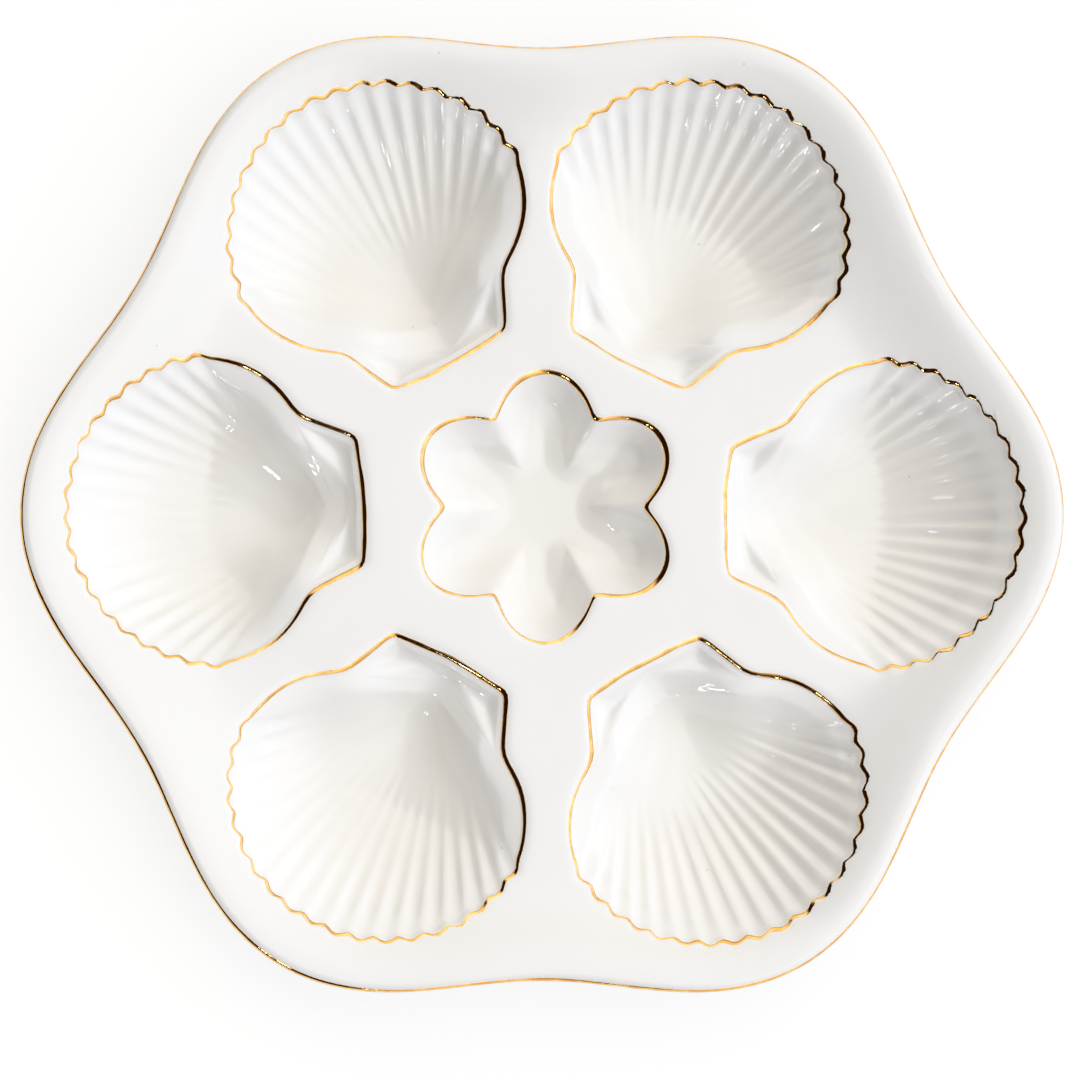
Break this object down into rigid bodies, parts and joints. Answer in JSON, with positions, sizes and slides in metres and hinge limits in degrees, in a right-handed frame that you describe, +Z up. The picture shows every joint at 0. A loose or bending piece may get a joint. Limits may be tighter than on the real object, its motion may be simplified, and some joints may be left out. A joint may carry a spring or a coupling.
{
  "type": "oyster plate",
  "caption": "Wavy-rimmed porcelain plate with fluted scallop-shell wells round a lobed centre well, gilded edges and a foot ring, for serving oysters.",
  "frame": {"origin": "centre of the plate on the surface that it stands on", "axes": "+Z up, +X through the middle of the first shell well and the lobe of the rim outside it"},
  "size_m": [0.26, 0.2382, 0.0265],
  "materials": {
    "porcelain": "clear glossy glaze over white porcelain, bare on the foot's land",
    "gilding": "burnished gold"
  },
  "bodies": {
    "root": {"plate_body": "porcelain", "rim_gilding": "gilding", "centre_well_gilding": "gilding", "shell_gilding_1": "gilding", "shell_gilding_2": "gilding", "shell_gilding_3": "gilding", "shell_gilding_4": "gilding", "shell_gilding_5": "gilding", "shell_gilding_6": "gilding"}
  },
  "joints": []
}
